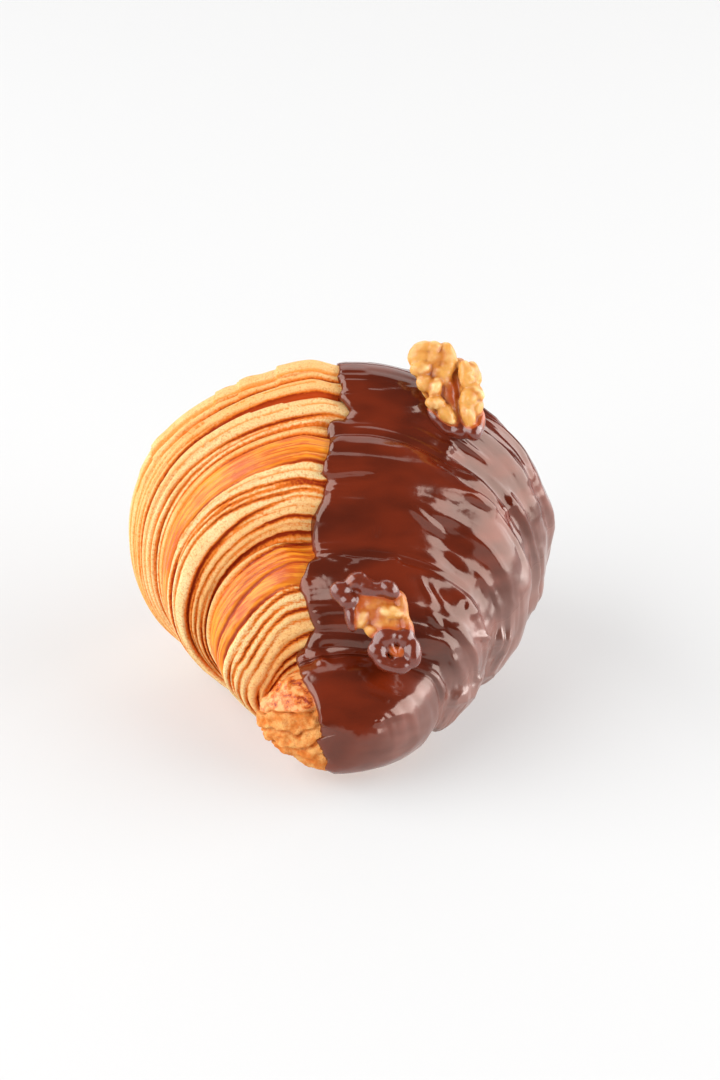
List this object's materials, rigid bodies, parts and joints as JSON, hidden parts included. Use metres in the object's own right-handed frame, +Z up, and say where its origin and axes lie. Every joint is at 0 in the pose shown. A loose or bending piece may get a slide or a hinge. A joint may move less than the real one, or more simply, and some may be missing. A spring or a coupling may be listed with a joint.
{
  "type": "chocolate croissant",
  "caption": "Whole baked croissant with stepped, layered wraps, its right side dipped in milk chocolate and set with walnut halves.",
  "frame": {"origin": "on the flat underneath that the croissant rests on, below its middle wrap", "axes": "+Z up, +Y along the croissant from its near tip to its far tip, +X towards the chocolate side"},
  "size_m": [0.1053, 0.1272, 0.0901],
  "materials": {
    "pastry": "matte baked layers with glossy amber skin between them",
    "chocolate": "smooth glossy milk chocolate",
    "walnut": "satin wrinkled kernel"
  },
  "bodies": {
    "root": {"croissant": "pastry", "chocolate_coat": "chocolate", "walnut_top": "walnut", "walnut_front": "walnut"}
  },
  "joints": []
}
